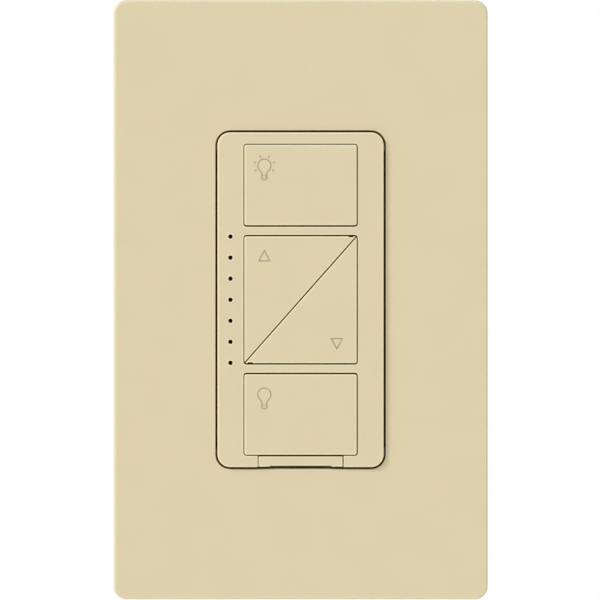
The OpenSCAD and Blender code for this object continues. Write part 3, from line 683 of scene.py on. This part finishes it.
def screw_meshes(screw, front, tip):
    """The head, neck and thread of a screw along +Y, each with how far it has yet to move."""
    shaft = bmesh.new()
    thread(shaft, screw.neck_end, tip, screw)
    neck_top, neck_foot = front + screw.head_h, screw.neck_end + 0.05 * MM
    neck = turned([(0, neck_top), (screw.neck_r, neck_top), (screw.neck_r, neck_foot),
                   (0, neck_foot)], steps=32)
    return ((screw_head(screw.head_r, screw.head_h, screw.neck_r), front),
            (mesh_from(neck, "screw_neck"), 0), (mesh_from(shaft, "screw_shaft"), 0))


def smooth_by_angle(mesh, degrees):
    """Smooth shading, except across edges sharper than degrees."""
    for polygon in mesh.polygons:
        polygon.use_smooth = True
    mesh.set_sharp_from_angle(angle=math.radians(degrees))


def centres(node, head_r):
    """The (x, z) spots of a node's screws, in one column or two, from its box."""
    low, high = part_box(node)
    two_columns = high.x - low.x > 3 * head_r
    xs = (round(low.x + head_r, 6), round(high.x - head_r, 6)) if two_columns else (0,)
    return [(x, z) for x in xs for z in (low.z + head_r, high.z - head_r)]


def screws(node, screw, from_behind=False):
    """Threaded screws that stand for a CAD node, one at each of its spots."""
    low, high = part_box(node)
    front, tip = (-high.y, -low.y) if from_behind else (low.y, high.y)
    turn = Matrix.Rotation(math.pi, 4, "Z") if from_behind else Matrix.Identity(4)
    meshes = screw_meshes(screw, front, tip)
    bm = bmesh.new()
    for x, z in centres(node, screw.head_r):
        for mesh, along in meshes:
            before = len(bm.verts)
            bm.from_mesh(mesh)
            bm.verts.ensure_lookup_table()
            place = Matrix.Translation((x, 0, z)) @ turn @ Matrix.Translation((0, along, 0))
            bmesh.ops.transform(bm, matrix=place, verts=bm.verts[before:])
    made = piece_from(bm, node + "_threaded", "screw_steel", "frame")
    smooth_by_angle(made.data, degrees=32)
    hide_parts(node)


def all_screws():
    """The machine screws at the front, and the screws that hold the rear cover."""
    machine = Screw(head_r=3.2 * MM, head_h=2.1 * MM, neck_r=1.55 * MM, neck_end=0.45 * MM,
                    thread_r=1.75 * MM, pitch=0.794 * MM, depth=0.45 * MM)
    screws("box_screws", machine)
    screws("adapter_screws", machine._replace(neck_r=1.5 * MM, neck_end=-1.6 * MM,
                                              thread_r=1.7 * MM))
    tie = Screw(head_r=2.6 * MM, head_h=2.4 * MM, neck_r=1.3 * MM, neck_end=-9.6 * MM,
                thread_r=1.38 * MM, pitch=0.9 * MM, depth=0.35 * MM)
    screws("rear_cover_screws", tie, from_behind=True)


# Label --------------------------------------------------------

RULES = 4   # plain rules on the label


def label_print():
    """A thin printed frame and plain rules on the blank rear label, drawn mirrored in Y."""
    low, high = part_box("rating_label")
    inset = 1.4 * MM
    left, right = low.x + inset, high.x - inset
    bottom, top = low.z + inset, high.z - inset
    bm = bmesh.new()
    stroke(bm, [(left, bottom), (left, top), (right, top), (right, bottom)], -high.y, closed=True)
    for i in range(1, RULES + 1):
        z = bottom + (top - bottom) * i / (RULES + 1)
        stroke(bm, [(left, z), (right, z)], -high.y)
    bmesh.ops.transform(bm, matrix=Matrix.Scale(-1, 4, (0, 1, 0)), verts=bm.verts)
    piece_from(bm, "label_print", "switch_plastic", "frame", "ink")


printed_signs()
all_screws()
label_print()


# ---------------------------------------------------------------- floor, light, camera

FLOOR_Z = -1.1          # far below, so that it is out of the front view
FLOOR_HALF = 9          # half the floor's size
SOFT_LIGHT = 0.45       # brightness of the world as a light
BACKDROP = 1.0          # brightness of the world as the camera sees it

# Each row: name, where the light comes from, strength, width in degrees
SUNS = (
    ("key_light", (-1.3, -1.0, 0.9), 1.50, 16),
    ("front_light", (-0.1, -1.0, 0.25), 0.63, 60),
    ("edge_light", (1.6, -1.0, -1.1), 0.60, 14),
    ("back_light", (0.5, 1.0, 0.6), 0.8, 50),
)

LENS, SENSOR = 200, 36
VIEW_MARGIN = 1.0007                   # height of the view over the height of the plate
ASIDE, DOWN = -0.12 * MM, -0.05 * MM   # lines the render up with the photo


def studio_floor():
    """A plain pale floor."""
    bm = bmesh.new()
    bmesh.ops.create_grid(bm, x_segments=12, y_segments=12, size=FLOOR_HALF)
    floor = shown("studio_floor", mesh_from(bm, "studio_floor"))
    floor.location = (0, 0, FLOOR_Z)
    floor.data.materials.append(pale_floor())


def soft_world():
    """A white world: soft as a light, and bright as a backdrop."""
    world = bpy.data.worlds.new("studio")
    bpy.context.scene.world = world
    world.use_nodes = True
    nodes, links = world.node_tree.nodes, world.node_tree.links
    soft, white = nodes["Background"], nodes.new("ShaderNodeBackground")
    for background, strength in ((soft, SOFT_LIGHT), (white, BACKDROP)):
        background.inputs["Color"].default_value = (1, 1, 1, 1)
        background.inputs["Strength"].default_value = strength
    ray = nodes.new("ShaderNodeLightPath")
    mix = nodes.new("ShaderNodeMixShader")
    links.new(ray.outputs["Is Camera Ray"], mix.inputs["Fac"])
    links.new(soft.outputs["Background"], mix.inputs[1])
    links.new(white.outputs["Background"], mix.inputs[2])
    links.new(mix.outputs["Shader"], nodes["World Output"].inputs["Surface"])


def sun(name, toward, strength, angle):
    """A soft distant light that shines from the direction toward."""
    light = bpy.data.lights.new(name, "SUN")
    light.energy = strength
    light.angle = math.radians(angle)
    shown(name, light).rotation_euler = Vector(toward).to_track_quat("Z", "Y").to_euler()


def front_camera():
    """A far camera, straight in front of the plate, whose height fills the view."""
    low, high = cad_box
    data = bpy.data.cameras.new("front_camera")
    data.lens, data.sensor_width = LENS, SENSOR
    data.clip_start, data.clip_end = 0.01, 60
    away = (high.z - low.z) * VIEW_MARGIN * LENS / SENSOR
    plate_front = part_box("wallplate_cover")[0].y
    made = shown("front_camera", data)
    made.location = (ASIDE, plate_front - away, (low.z + high.z) / 2 + DOWN)
    made.rotation_euler = (math.pi / 2, 0, 0)
    bpy.context.scene.camera = made


studio_floor()
soft_world()
for row in SUNS:
    sun(*row)
front_camera()
bpy.context.scene.view_settings.view_transform = "Standard"
